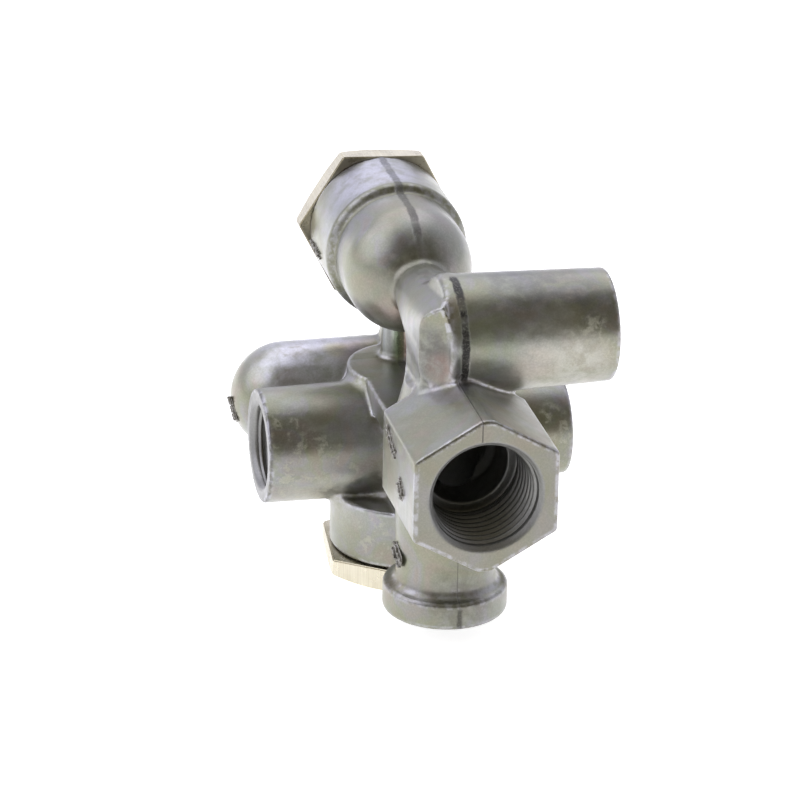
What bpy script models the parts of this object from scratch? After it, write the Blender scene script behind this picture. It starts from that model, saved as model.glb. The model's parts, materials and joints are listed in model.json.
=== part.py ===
"""Multiport air valve: a die-cast body with six pipe ports, a piston cartridge and a poppet
cartridge under brass caps, a double check between the side ports and a check valve in the upper one.

All dimensions are millimetres in the casting's own frame. Its origin is the centre of the
hexagonal front port's mouth, with +X to the right of that port, +Y away from its mouth and +Z up.
The empty valve_frame carries every piece, and stands the valve on its lower cap with the row's
origin in the middle of the base.
"""
import math

import bmesh
import bpy
from mathutils import Matrix

MM = 0.001
GAP = 0.3                      # between pieces that touch, and around pieces that slide

# Front port: a hexagon for a 1-1/8 inch wrench, bored for 1/2 inch pipe.
HEX_FLATS = 28.6
HEX_LENGTH = 26.5
FRONT_PIPE_R = 10.4
FRONT_PIPE_DEPTH = 16.0

# The other ports are bored for 3/8 inch pipe.
PIPE_R = 8.5
PIPE_DEPTH = 12.5
BEVEL = 0.7

# Centre column: the down port's ring at its foot, and the leg up to the upper port.
COLUMN_Y = 30.7
FOOT_R = 12.5
FOOT_BOTTOM = -37.0
FOOT_TOP = -31.4
NECK_R = 9.8
LEG_HALF_X = 7.5
LEG_FRONT = 20.2
LEG_BACK = 37.0
LEG_CHAMFER = 4.6

# Upper port, along X, closed at its left end.
UPPER_Z = 21.2
UPPER_ROOT_R = 12.2
UPPER_END_R = 11.2
UPPER_LEFT = -2.8
UPPER_RIGHT = 31.5
CHECK_R = 7.2                  # chamber of the check valve
CHECK_BACK = 6.0
CHECK_SEAT = 14.6
CHECK_SEAL_THICK = 1.3
CHECK_HEAD_THICK = 1.8

# Rear cartridge, along Y at the upper port's height, joined to the leg by a round tie.
REAR_R = 14.75
REAR_STEP = 75.7
REAR_END = 92.4
DOME_R = 13.2
DOME_Y = 67.7
TIE_R = 5.3
PISTON_BORE = 10.9
PISTON_SEAT = 71.0
PISTON_BACK = 80.0
SEAL_THICK = 1.6               # of the piston's face seal
REAR_CAP_R = 17.1
REAR_CAP_CLOCK = -2.7

# Lower cartridge, upright, under the two side ports.
LOWER_Y = 62.5
LOWER_R = 16.2
LOWER_END = -36.6
LOWER_SHOULDER = -25.3
LOWER_TOP = -24.4
LOWER_CORE_R = 9.8             # above the full radius, under the side ports
POPPET_HEAD = -29.2
LOWER_CAP_R = 19.2
LOWER_CAP_CLOCK = 23.9
CAP_THICK = 4.7
SHANK_FLOOR = -3.4             # where each cap's shank ends inside its head

# Side ports, on one axis, with the shuttle between their seats.
SIDE_Y = 66.0
SIDE_Z = -15.1
LEFT_R = 11.7
LEFT_END = -30.9
RIGHT_R = 10.4
RIGHT_END = 33.0
GALLERY_R = 7.0
SIDE_SEAT = 9.3
SHUTTLE_FACE = 5.6

# Deck over the side ports, and the neck from its round end up to the rear cartridge.
DECK_Z = -1.2
DECK_BOTTOM = -12.0
DECK_HALF_X = 9.0
DECK_R = 11.1
DECK_Y = 71.2
NECK_UP_R = 3.3
NECK_UP_Y = 75.3

# Back port, along X, with a domed left end.
BACK_Y = 87.5
BACK_Z = -13.7
BACK_R = 11.4
BACK_DOME_X = -20.85
BACK_RIGHT = 19.0
LUG_HALF_X = 3.3               # the lug from the back port up to the rear cartridge
LUG_FRONT = 81.0
LUG_BACK = 87.0

# The row's origin, in the casting's frame.
BASE_Z = LOWER_END - GAP - CAP_THICK
MIDDLE_X = (BACK_DOME_X - BACK_R + RIGHT_END) / 2
MIDDLE_Y = (BACK_Y + BACK_R) / 2

# Drillings between the bores.
LEG_DRILL_R = 4.0
TIE_DRILL_R = 2.8
BACK_DRILL_R = 2.6
NECK_DRILL_R = 1.8
COLUMN_DRILL_Z = -26.4

# Sides of turned solids.
OUTER_SIDES = 32
INNER_SIDES = 20
RING_SIDES = 16
DRILL_SIDES = 12

ALONG = {
    "x": Matrix.Rotation(math.radians(90), 4, "Y"),
    "-x": Matrix.Rotation(math.radians(-90), 4, "Y"),
    "y": Matrix.Rotation(math.radians(-90), 4, "X"),
    "-y": Matrix.Rotation(math.radians(90), 4, "X"),
    "z": Matrix.Identity(4),
}

# Colour, roughness and metallic value.
FINISHES = {
    "cast": ((0.30, 0.29, 0.22), 0.42, 0.9),
    "brass": ((0.72, 0.58, 0.33), 0.28, 1.0),
    "rubber": ((0.03, 0.03, 0.03), 0.75, 0.0),
    "steel": ((0.55, 0.56, 0.58), 0.30, 1.0),
    "acetal": ((0.75, 0.73, 0.66), 0.45, 0.0),
}


# ---------------------------------------------------------------- tools

def clear_scene():
    for ob in list(bpy.data.objects):
        bpy.data.objects.remove(ob)


def material(name, colour, roughness, metallic):
    mat = bpy.data.materials.new(name)
    mat.use_nodes = True
    shader = mat.node_tree.nodes["Principled BSDF"]
    shader.inputs["Base Color"].default_value = (*colour, 1.0)
    shader.inputs["Roughness"].default_value = roughness
    shader.inputs["Metallic"].default_value = metallic
    return mat


def add_object(name, bm, frame, finish=None):
    """Turns bm into an object carried by the empty frame."""
    bmesh.ops.recalc_face_normals(bm, faces=bm.faces)
    mesh = bpy.data.meshes.new(name)
    bm.to_mesh(mesh)
    bm.free()
    if finish:
        mesh.materials.append(material(name, *FINISHES[finish]))
        mesh.shade_smooth()
        mesh.set_sharp_from_angle(angle=math.radians(35))
    ob = bpy.data.objects.new(name, mesh)
    bpy.context.scene.collection.objects.link(ob)
    ob.parent = frame
    return ob


def place(ob, axis, at):
    """Lays the object's own Z along an axis of the frame, with its origin at a point in mm."""
    ob.rotation_euler = ALONG[axis].to_euler()
    ob.location = [c * MM for c in at]
    return ob


def lathe(bm, profile, sides, closed, clock):
    """Turns (radius, height) points about Z. A closed profile makes a ring."""
    loops = []
    for radius, height in profile:
        count = sides if radius else 1
        loop = []
        for i in range(count):
            a = math.tau * i / sides + clock
            corner = (radius * math.cos(a), radius * math.sin(a), height)
            loop.append(bm.verts.new([c * MM for c in corner]))
        loops.append(loop)
    pairs = list(zip(loops, loops[1:]))
    if closed:
        pairs.append((loops[-1], loops[0]))
    for low, high in pairs:
        for i in range(sides):
            j = i + 1
            corners = (low[i % len(low)], low[j % len(low)], high[j % len(high)], high[i % len(high)])
            corners = list(dict.fromkeys(corners))
            if len(corners) > 2:
                bm.faces.new(corners)


def turned(name, profile, axis, at, frame, finish=None, sides=INNER_SIDES, closed=False, clock=0):
    """A turned piece. An open profile is brought to its axis at both ends."""
    if not closed and profile[0][0]:
        profile = [(0, profile[0][1]), *profile]
    if not closed and profile[-1][0]:
        profile = [*profile, (0, profile[-1][1])]
    bm = bmesh.new()
    lathe(bm, profile, sides, closed, math.radians(clock))
    return place(add_object(name, bm, frame, finish), axis, at)


def arc(radius, centre_r, centre_h, start, end, steps):
    """Points of an arc in a turned profile. Angles are in degrees from the radius direction."""
    points = []
    for i in range(steps + 1):
        a = math.radians(start + (end - start) * i / steps)
        points.append((centre_r + radius * math.cos(a), centre_h + radius * math.sin(a)))
    return points


def o_ring(name, major, minor, axis, at, frame):
    section = arc(minor, major, 0, 0, 300, 5)
    return turned(name, section, axis, at, frame, "rubber", RING_SIDES, closed=True)


def prism(name, outline, low, high, frame):
    """An upright solid from an outline of (x, y) points in mm."""
    bm = bmesh.new()
    floor = bm.faces.new([bm.verts.new((x * MM, y * MM, low * MM)) for x, y in outline])
    raised = bmesh.ops.extrude_face_region(bm, geom=[floor])["geom"]
    for v in raised:
        if isinstance(v, bmesh.types.BMVert):
            v.co.z = high * MM
    return add_object(name, bm, frame)


def rectangle(half_x, front, back, cut):
    """A rectangle across X, with its corners cut off."""
    return [
        (-half_x, front + cut), (-half_x + cut, front), (half_x - cut, front), (half_x, front + cut),
        (half_x, back - cut), (half_x - cut, back), (-half_x + cut, back), (-half_x, back - cut),
    ]


def boolean(ob, tool, operation):
    tool.hide_render = True
    tool.display_type = "WIRE"
    mod = ob.modifiers.new(f"{operation.lower()} {tool.name}", "BOOLEAN")
    mod.operation = operation
    mod.solver = "EXACT"
    mod.object = tool


def boolean_all(ob, tools, name, operation):
    """One Boolean with a whole collection of tools."""
    group = bpy.data.collections.new(name)
    bpy.context.scene.collection.children.link(group)
    for tool in tools:
        tool.hide_render = True
        tool.display_type = "WIRE"
        bpy.context.scene.collection.objects.unlink(tool)
        group.objects.link(tool)
    mod = ob.modifiers.new(name, "BOOLEAN")
    mod.operation = operation
    mod.solver = "EXACT"
    mod.operand_type = "COLLECTION"
    mod.collection = group


def coil_height(turn, turns, length, wire):
    """Height of the wire's middle after some turns: the end turns lie closed, the others open."""
    bottom = wire / 2
    top = length - wire / 2
    closed = 1.08 * wire
    if turn < 1:
        return bottom + closed * turn
    if turn > turns - 1:
        return top - closed * (turns - turn)
    return bottom + closed + (top - bottom - 2 * closed) * (turn - 1) / (turns - 2)


def spring(name, radius, wire, length, turns, axis, at, frame):
    """A coil of round wire about its own Z, from height 0 up to its length."""
    bm = bmesh.new()
    steps_per_turn = 12
    wire_sides = 5
    loops = []
    for i in range(turns * steps_per_turn + 1):
        turn = i / steps_per_turn
        a = math.tau * turn
        height = coil_height(turn, turns, length, wire)
        loop = []
        for k in range(wire_sides):
            b = math.tau * k / wire_sides
            r = radius + wire / 2 * math.cos(b)
            corner = (r * math.cos(a), r * math.sin(a), height + wire / 2 * math.sin(b))
            loop.append(bm.verts.new([c * MM for c in corner]))
        loops.append(loop)
    for low, high in zip(loops, loops[1:]):
        for k in range(wire_sides):
            m = (k + 1) % wire_sides
            bm.faces.new((low[k], low[m], high[m], high[k]))
    bm.faces.new(loops[0])
    bm.faces.new(loops[-1])
    return place(add_object(name, bm, frame, "steel"), axis, at)


# ---------------------------------------------------------------- the casting

def column_masses(frame):
    """The front port, the leg, the upper port and the rear cartridge's housing."""
    corner = HEX_FLATS / math.sqrt(3)
    yield turned("front_hex", [(corner, 0), (corner, HEX_LENGTH)], "y", (0, 0, 0), frame, sides=6, clock=30)
    shoulder = [(12.8, 0), (10.3, 13)]
    yield turned("front_shoulder", shoulder, "y", (0, HEX_LENGTH - 5, 0), frame, sides=OUTER_SIDES)
    leg = rectangle(LEG_HALF_X, LEG_FRONT, LEG_BACK, LEG_CHAMFER)
    yield prism("leg", leg, 2.0, UPPER_Z + 4.5, frame)
    upper = [(UPPER_ROOT_R - LEG_CHAMFER, -LEG_HALF_X - 0.1), (UPPER_ROOT_R, UPPER_LEFT)]
    upper.append((UPPER_END_R, UPPER_RIGHT))
    yield turned("upper_port", upper, "x", (0, COLUMN_Y, UPPER_Z), frame, sides=OUTER_SIDES)
    rear = [(LEG_HALF_X - 0.5, LEG_BACK - 8), (TIE_R, DOME_Y - DOME_R + 1.5)]
    rear += arc(DOME_R, 0, DOME_Y, -62, 0, 5)
    rear += [(DOME_R, REAR_STEP - 0.6), (REAR_R - 0.8, REAR_STEP), (REAR_R, REAR_STEP + 0.8)]
    rear.append((REAR_R, REAR_END))
    yield turned("rear_cartridge", rear, "y", (0, 0, UPPER_Z), frame, sides=OUTER_SIDES)


def side_masses(frame):
    """The lower cartridge's housing, the side ports, the deck and the back port."""
    lower = [(LOWER_R, LOWER_END), (LOWER_R, LOWER_TOP), (12.4, -22.6)]
    lower += [(LOWER_CORE_R, -20.5), (LOWER_CORE_R, -8)]
    yield turned("lower_cartridge", lower, "z", (0, LOWER_Y, 0), frame, sides=OUTER_SIDES)
    sides = [(LEFT_R, LEFT_END), (LEFT_R + 0.3, 0), (RIGHT_R, RIGHT_END)]
    yield turned("side_ports", sides, "x", (0, SIDE_Y, SIDE_Z), frame, sides=OUTER_SIDES)
    web = rectangle(DECK_HALF_X, COLUMN_Y, LOWER_Y, 1)
    yield prism("web", web, FOOT_TOP + 1.4, DECK_Z - 1, frame)
    yield prism("deck", deck_outline(), DECK_BOTTOM, DECK_Z, frame)
    neck = [(NECK_UP_R + 2, DECK_Z - 1), (NECK_UP_R, DECK_Z + 2), (NECK_UP_R, 6), (NECK_UP_R + 2.5, 11)]
    yield turned("neck_up", neck, "z", (0, NECK_UP_Y, 0), frame, sides=RING_SIDES)
    lug = rectangle(LUG_HALF_X, LUG_FRONT, LUG_BACK, 1)
    yield prism("lug", lug, BACK_Z + 2.3, UPPER_Z - REAR_R + 2, frame)
    back = arc(BACK_R, 0, BACK_DOME_X, -90, 0, 7) + [(BACK_R, BACK_RIGHT)]
    back[0] = (0, BACK_DOME_X - BACK_R)
    yield turned("back_port", back, "x", (0, BACK_Y, BACK_Z), frame, sides=OUTER_SIDES)


def deck_outline():
    """Straight sides from the column, then a round end about the deck's centre."""
    start = math.degrees(math.asin(DECK_HALF_X / DECK_R)) - 90
    end = arc(DECK_R, 0, DECK_Y, start, 180 - start, 16)
    return [(-DECK_HALF_X, COLUMN_Y), (DECK_HALF_X, COLUMN_Y)] + end


def mouth(radius, depth, face, inwards):
    """A port's profile from just outside its face: a bevelled mouth, then the pipe's length."""
    return [
        (radius + BEVEL, face - inwards),
        (radius + BEVEL, face + 0.3 * inwards),
        (radius, face + 1.2 * inwards),
        (radius, face + depth * inwards),
    ]


def body_hollows(frame):
    """The bores and drillings, as the casting is machined."""
    front = mouth(FRONT_PIPE_R, FRONT_PIPE_DEPTH, 0, 1)
    front += [(8.2, FRONT_PIPE_DEPTH + 1.5), (8.2, 24.5), (6.6, 26), (6.6, 33)]
    yield turned("front_bore", front, "y", (0, 0, 0), frame)
    foot = mouth(PIPE_R, PIPE_DEPTH, FOOT_BOTTOM, 1) + [(6.4, FOOT_BOTTOM + PIPE_DEPTH + 1.5), (6.4, 4)]
    yield turned("down_bore", foot, "z", (0, COLUMN_Y, 0), frame)
    upper = [(4.2, 0.9), (4.2, CHECK_BACK), (CHECK_R, CHECK_BACK)]
    upper.append((CHECK_R, UPPER_RIGHT - PIPE_DEPTH - 1))
    upper += reversed(mouth(PIPE_R, PIPE_DEPTH, UPPER_RIGHT, -1))
    yield turned("upper_bore", upper, "x", (0, COLUMN_Y, UPPER_Z), frame)
    rear = [(7.2, 60.5), (7.2, PISTON_SEAT), (PISTON_BORE, PISTON_SEAT), (PISTON_BORE, 84), (12.2, 84.6)]
    rear += [(12.2, REAR_END - 2.4), (13.3, REAR_END - 2.2), (13.3, REAR_END + 1)]
    yield turned("rear_bore", rear, "y", (0, 0, UPPER_Z), frame)
    lower = [(14.7, LOWER_END - 1), (14.7, LOWER_END + 2.2), (13.2, LOWER_END + 2.5), (13.2, -29.8)]
    lower += [(11.2, -29.2), (11.2, LOWER_SHOULDER), (8.2, LOWER_SHOULDER), (8.2, SIDE_Z - 0.9)]
    yield turned("lower_bore", lower, "z", (0, LOWER_Y, 0), frame)
    gallery = mouth(PIPE_R, PIPE_DEPTH, LEFT_END, 1) + [(GALLERY_R, LEFT_END + PIPE_DEPTH + 1)]
    gallery += [(GALLERY_R, RIGHT_END - PIPE_DEPTH - 1), *reversed(mouth(PIPE_R, PIPE_DEPTH, RIGHT_END, -1))]
    yield turned("gallery", gallery, "x", (0, SIDE_Y, SIDE_Z), frame)
    back = [(6.6, BACK_DOME_X + 2), (6.6, BACK_RIGHT - PIPE_DEPTH - 1)]
    back += reversed(mouth(PIPE_R, PIPE_DEPTH, BACK_RIGHT, -1))
    yield turned("back_bore", back, "x", (0, BACK_Y, BACK_Z), frame)


def drilling(name, radius, start, end, axis, at, frame):
    return turned(name, [(radius, start), (radius, end)], axis, at, frame, sides=DRILL_SIDES)


def body_drillings(frame):
    """The passages that join the bores."""
    leg = (0, COLUMN_Y, 0)
    yield drilling("leg_drill", LEG_DRILL_R, 0.7, UPPER_Z + 0.6, "z", leg, frame)
    tie = (0, 0, UPPER_Z)
    yield drilling("tie_drill", TIE_DRILL_R, COLUMN_Y + 0.7, DOME_Y - 5.7, "y", tie, frame)
    column = (0, 0, COLUMN_DRILL_Z)
    yield drilling("column_drill", TIE_DRILL_R, COLUMN_Y + 0.7, LOWER_Y - 8, "y", column, frame)
    back = (0, 0, SIDE_Z + 0.4)
    yield drilling("back_drill", BACK_DRILL_R, SIDE_Y + 0.7, BACK_Y - 0.7, "y", back, frame)
    neck = (0, NECK_UP_Y, 0)
    yield drilling("neck_drill", NECK_DRILL_R, SIDE_Z + 0.9, UPPER_Z - 8, "z", neck, frame)


def valve_body(frame):
    cove = FOOT_R - NECK_R
    column = [(FOOT_R, FOOT_BOTTOM)] + arc(cove, FOOT_R, FOOT_TOP + cove, 270, 180, 3)
    column += [(NECK_R + 0.6, -10), (NECK_R + 1, 4), (NECK_R - 1, 12)]
    body = turned("valve_body", column, "z", (0, COLUMN_Y, 0), frame, "cast", sides=OUTER_SIDES)
    masses = [*column_masses(frame), *side_masses(frame)]
    boolean_all(body, masses, "masses", "UNION")
    hollows = [*body_hollows(frame), *body_drillings(frame)]
    boolean_all(body, hollows, "hollows", "DIFFERENCE")


# ---------------------------------------------------------------- rear cartridge

def brass_cap(name, head_r, clock, shank, axis, at, frame):
    """A hexagonal screwed cap, whose own Z runs from its head's underside into the body.

    The shank's profile starts and ends on the axis, and gives the cap's hollow too.
    """
    head = [(head_r, -CAP_THICK), (head_r, 0)]
    cap = turned(name, head, axis, at, frame, "brass", sides=6, clock=clock)
    shank = [(0, SHANK_FLOOR), (shank[0][0], SHANK_FLOOR), *shank]
    recess_r = shank[1][0] - 0.9
    recess = turned(name + "_recess", [(recess_r, SHANK_FLOOR + 0.5), (recess_r, 1)], axis, at, frame)
    boolean(cap, recess, "DIFFERENCE")
    boolean(cap, turned(name + "_shank", shank, axis, at, frame), "UNION")


def rear_cap(frame):
    at = (0, REAR_END + GAP, UPPER_Z)
    shank = [(11.2, 2.1), (11.9, 2.4), (11.9, 7.8), (8.9, 7.8), (8.9, -1.3)]
    brass_cap("rear_cap", REAR_CAP_R, REAR_CAP_CLOCK, shank, "-y", at, frame)
    o_ring("rear_cap_o_ring", 12.25, 0.75, "y", (0, REAR_END - 1.1, UPPER_Z), frame)


def piston(frame):
    """The piston, with its two rings and the face seal that a washer and screw hold."""
    at = (0, 0, UPPER_Z)
    front = PISTON_SEAT + 2 * GAP
    outside = PISTON_BORE - GAP
    pocket = front + SEAL_THICK
    profile = [(0, front + 5.5), (1.9, front + 5.5), (1.9, front), (2.4, front), (2.4, pocket)]
    profile += [(9.4, pocket), (9.4, front), (outside, front)]
    for groove, name in ((front + 2.9, "piston_front_o_ring"), (front + 5.6, "piston_rear_o_ring")):
        profile += [(outside, groove), (9.0, groove), (9.0, groove + 1.5), (outside, groove + 1.5)]
        o_ring(name, 9.85, 0.6, "y", (0, groove + 0.75, UPPER_Z), frame)
    profile += [(outside, PISTON_BACK), (4.6, PISTON_BACK), (4.6, PISTON_BACK + 6.5)]
    turned("piston", profile, "y", at, frame, "brass")
    seal = [(2.7, front - GAP), (9.1, front - GAP), (9.1, pocket - GAP), (2.7, pocket - GAP)]
    turned("piston_face_seal", seal, "y", at, frame, "rubber", closed=True)
    washer = [(1.9, front - 1.4), (5.4, front - 1.4), (5.4, front - 0.6), (1.9, front - 0.6)]
    turned("face_seal_washer", washer, "y", at, frame, "steel", closed=True)
    screw = [(0, front - 2.8), (1.3, front - 2.8), (1.3, front - 4), (3.3, front - 4), (3.3, front - 1.7)]
    screw += [(1.6, front - 1.7), (1.6, front + 5)]
    turned("face_seal_screw", screw, "y", at, frame, "steel", sides=16)


def piston_spring(frame):
    start = PISTON_BACK + GAP
    length = REAR_END + 1.3 - start
    spring("piston_spring", 6.7, 1.3, length, 7, "y", (0, start, UPPER_Z), frame)


# ---------------------------------------------------------------- lower cartridge

def lower_cap(frame):
    """The cap, with a boss in its hollow that guides the poppet's stem."""
    at = (0, LOWER_Y, LOWER_END - GAP)
    shank = [(12.4, 2.2), (12.9, 2.5), (12.9, 6.8), (10.0, 6.8), (10.0, -0.7)]
    shank += [(4.4, -0.7), (4.4, 2.8), (2.6, 2.8), (2.6, -2.4)]
    brass_cap("lower_cap", LOWER_CAP_R, LOWER_CAP_CLOCK, shank, "z", at, frame)
    o_ring("lower_cap_o_ring", 13.5, 0.75, "z", (0, LOWER_Y, LOWER_END + 1), frame)


def lower_seat(frame):
    """A flanged seat with a lip, pushed up into the body, and its ring."""
    flange = -GAP
    under = flange - 1.3
    seat = [(4.2, -2.0), (5.2, -2.0), (5.2, under), (10.8, under), (10.8, flange), (7.9, flange)]
    seat += [(7.9, 0.4), (6.9, 0.4), (6.9, 1.7), (7.9, 1.7), (7.9, 2.4), (4.2, 2.4)]
    turned("lower_seat", seat, "z", (0, LOWER_Y, LOWER_SHOULDER), frame, "brass", closed=True)
    o_ring("lower_seat_o_ring", 7.55, 0.45, "z", (0, LOWER_Y, LOWER_SHOULDER + 1.05), frame)


def poppet(frame):
    """The head, with a shallow rim round its seal, and the stem that the cap's boss guides."""
    at = (0, LOWER_Y, POPPET_HEAD)
    profile = [(2.3, -6.6), (2.3, -2.0), (8.0, -2.0), (8.0, 0.7), (7.7, 0.7), (7.7, 0)]
    profile += [(2.3, 0), (2.3, 4.4)]
    turned("poppet", profile, "z", at, frame, "acetal")
    seal = [(2.6, GAP), (7.4, GAP), (7.4, 1.6), (2.6, 1.6)]
    turned("poppet_seal", seal, "z", at, frame, "rubber", closed=True)


def poppet_spring(frame):
    floor = LOWER_END - 0.7
    length = POPPET_HEAD - 2 - GAP - floor
    spring("poppet_spring", 6.0, 0.8, length, 4, "z", (0, LOWER_Y, floor), frame)


# ---------------------------------------------------------------- side ports

def side_seat(side, axis, bore_start, frame):
    """One side port's seat, measured outwards from the middle, and its ring."""
    at = (0, SIDE_Y, SIDE_Z)
    flange = bore_start + 1.3
    seat = [(4.2, SIDE_SEAT), (5.2, SIDE_SEAT), (5.6, SIDE_SEAT + 0.5), (6.7, SIDE_SEAT + 0.5), (6.7, 13.1)]
    seat += [(5.6, 13.1), (5.6, 14.6), (6.7, 14.6), (6.7, flange), (8.0, flange), (8.0, flange + 1.2)]
    seat += [(4.2, flange + 1.2)]
    turned(side + "_seat", seat, axis, at, frame, "brass", closed=True)
    ring_x = 13.85 if axis == "x" else -13.85
    o_ring(side + "_seat_o_ring", 6.3, 0.45, "x", (ring_x, SIDE_Y, SIDE_Z), frame)


def shuttle(frame):
    """The double check's spool, with a rubber disc on each end."""
    at = (0, SIDE_Y, SIDE_Z)
    half = [(3.6, 2.6), (6.3, 3.4), (6.3, SHUTTLE_FACE), (1.2, SHUTTLE_FACE), (1.2, SHUTTLE_FACE + 1.4)]
    profile = [(r, -x) for r, x in reversed(half)] + half
    turned("shuttle", profile, "x", at, frame, "acetal")
    inner = SHUTTLE_FACE + GAP
    disc = [(1.5, inner), (6.0, inner), (6.0, inner + 1.5), (1.5, inner + 1.5)]
    turned("shuttle_right_seal", disc, "x", at, frame, "rubber", closed=True)
    turned("shuttle_left_seal", disc, "-x", at, frame, "rubber", closed=True)


# ---------------------------------------------------------------- check valve in the upper port

def check_valve(frame):
    at = (0, COLUMN_Y, UPPER_Z)
    flange = UPPER_RIGHT - PIPE_DEPTH + GAP
    rim = CHECK_SEAT + 0.5
    seat = [(3.8, CHECK_SEAT), (4.8, CHECK_SEAT), (4.8, rim), (6.9, rim), (6.9, 16.0), (5.8, 16.0)]
    seat += [(5.8, 17.3), (6.9, 17.3), (6.9, 18.0), (7.8, flange), (7.8, flange + 1.2)]
    seat.append((3.8, flange + 1.2))
    turned("check_seat", seat, "x", at, frame, "brass", closed=True)
    o_ring("check_seat_o_ring", 6.4, 0.45, "x", (16.65, COLUMN_Y, UPPER_Z), frame)
    face = CHECK_SEAT - GAP
    back = face - CHECK_SEAL_THICK
    seal = [(1.5, back), (6.2, back), (6.2, face), (1.5, face)]
    turned("check_seal", seal, "x", at, frame, "rubber", closed=True)
    head = back - GAP
    under = head - CHECK_HEAD_THICK
    profile = [(2.0, head - 5.1), (2.0, under), (6.4, under), (6.4, head), (1.2, head)]
    profile.append((1.2, face - 0.3))
    turned("check_poppet", profile, "x", at, frame, "acetal")
    start = CHECK_BACK + GAP
    length = under - GAP - start
    spring("check_spring", 4.9, 0.7, length, 3, "x", (start, COLUMN_Y, UPPER_Z), frame)


def build():
    clear_scene()
    frame = bpy.data.objects.new("valve_frame", None)
    bpy.context.scene.collection.objects.link(frame)
    frame.location = (-MIDDLE_X * MM, -MIDDLE_Y * MM, -BASE_Z * MM)
    valve_body(frame)
    rear_cap(frame)
    piston(frame)
    piston_spring(frame)
    lower_cap(frame)
    lower_seat(frame)
    poppet(frame)
    poppet_spring(frame)
    side_seat("left", "-x", -LEFT_END - PIPE_DEPTH - 1, frame)
    side_seat("right", "x", RIGHT_END - PIPE_DEPTH - 1, frame)
    shuttle(frame)
    check_valve(frame)


build()
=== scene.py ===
"""Looks of the multiport air valve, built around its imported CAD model.

The casting is made as a distance field: every boss is a simple solid, blended into its neighbours
with a fillet, as in a die casting. The field is turned into one mesh, which replaces the plain CAD
body, with its pipe threads lining the bores. The cast marks, the brass caps and the springs are
meshes of their own. Lengths in this script are millimetres in the casting's frame, whose origin is
the centre of the front port's mouth.
"""
import json
import math

import bmesh
import bpy
import numpy as np
from mathutils import Matrix, Vector


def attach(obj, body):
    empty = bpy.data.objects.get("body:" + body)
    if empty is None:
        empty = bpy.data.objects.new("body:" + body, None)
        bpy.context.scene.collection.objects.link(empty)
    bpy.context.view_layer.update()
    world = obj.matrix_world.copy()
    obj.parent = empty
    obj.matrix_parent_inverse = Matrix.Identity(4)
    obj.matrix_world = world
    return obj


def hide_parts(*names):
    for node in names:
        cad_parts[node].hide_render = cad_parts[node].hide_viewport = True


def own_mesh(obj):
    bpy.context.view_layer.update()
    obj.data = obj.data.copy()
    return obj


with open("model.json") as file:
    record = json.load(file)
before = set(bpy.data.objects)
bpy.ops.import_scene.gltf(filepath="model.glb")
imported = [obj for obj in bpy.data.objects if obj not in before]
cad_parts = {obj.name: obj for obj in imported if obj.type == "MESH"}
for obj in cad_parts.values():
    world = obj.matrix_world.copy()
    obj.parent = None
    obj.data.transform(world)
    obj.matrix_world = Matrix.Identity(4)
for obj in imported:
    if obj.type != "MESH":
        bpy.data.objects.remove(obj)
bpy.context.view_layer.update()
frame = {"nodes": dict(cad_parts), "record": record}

MM = 0.001
MOUNTS = {m["name"]: Vector(m["pos_m"]) for m in frame["record"]["mounts"]}
ORIGIN = MOUNTS["front_port_face"] - Vector((12.7, 0, 0)) * MM

# Front port and column.
HEX_HALF = 14.3
HEX_LENGTH = 26.5
HEX_LAND = 15.75
COLUMN_Y = 30.7
FOOT_R = 12.5
FOOT_BOTTOM = -37.0
FOOT_TOP = -31.4
NECK_R = 9.8
LEG_HALF = 7.5
LEG_FACE_Y = 19.25
LEG_FACE_SLANT = 0.7
LEG_BACK = 37.0

# Upper port and rear cartridge.
UPPER_Z = 21.2
UPPER_ROOT_R = 12.2
UPPER_END_R = 11.2
UPPER_LEFT = -2.9
UPPER_RIGHT = 31.5
REAR_R = 14.75
REAR_STEP = 75.7
REAR_END = 92.4
DOME_R = 13.2
DOME_Y = 67.7
TIE_R = 5.3
TIE_ROOT_R = 9.3

# Lower cartridge, side ports, deck and back port.
LOWER_Y = 62.5
LOWER_R = 16.2
LOWER_END = -36.6
LOWER_TOP = -24.4
SIDE_Y = 66.0
SIDE_Z = -15.1
LEFT_R = 11.7
LEFT_END = -30.9
RIGHT_R = 10.4
RIGHT_END = 33.0
DECK_Z = -1.2
DECK_HALF = 9.0
DECK_R = 11.1
DECK_Y = 71.2
PLATE_BOTTOM = -6.4
WEB_HALF = 6.0
NECK_UP_R = 3.3
NECK_UP_Y = 75.3
BACK_Y = 87.5
BACK_Z = -13.7
BACK_R = 11.4
BACK_DOME_X = -20.85
BACK_RIGHT = 19.0
LUG_LEFT = -0.8
LUG_RIGHT = 3.0
LUG_FRONT = 83.2
LUG_BACK = 88.5

# Pipe bores: the radius of the bore, and its thread's pitch.
HALF_INCH = (10.75, 1.81)
THREE_EIGHTHS = (8.55, 1.41)

VOXEL = 0.42


# ---------------------------------------------------------------- distance fields

def smooth_union(a, b, fillet):
    h = np.clip(0.5 + 0.5 * (b - a) / fillet, 0, 1)
    return b + (a - b) * h - fillet * h * (1 - h)


def smooth_common(a, b, edge):
    return -smooth_union(-a, -b, edge)


def smooth_cut(a, b, edge):
    return smooth_common(a, -b, edge)


def between(value, low, high):
    return np.abs(value - (low + high) / 2) - (high - low) / 2


def rod(p, axis, centre, heights, radii, edge=0.5):
    """A round bar along an axis, whose radius follows a list of heights."""
    across = [p[i] for i in range(3) if i != axis]
    radius = np.interp(p[axis], heights, radii).astype(np.float32)
    side = np.hypot(across[0] - centre[0], across[1] - centre[1]) - radius
    return smooth_common(side, between(p[axis], heights[0], heights[-1]), edge)


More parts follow.
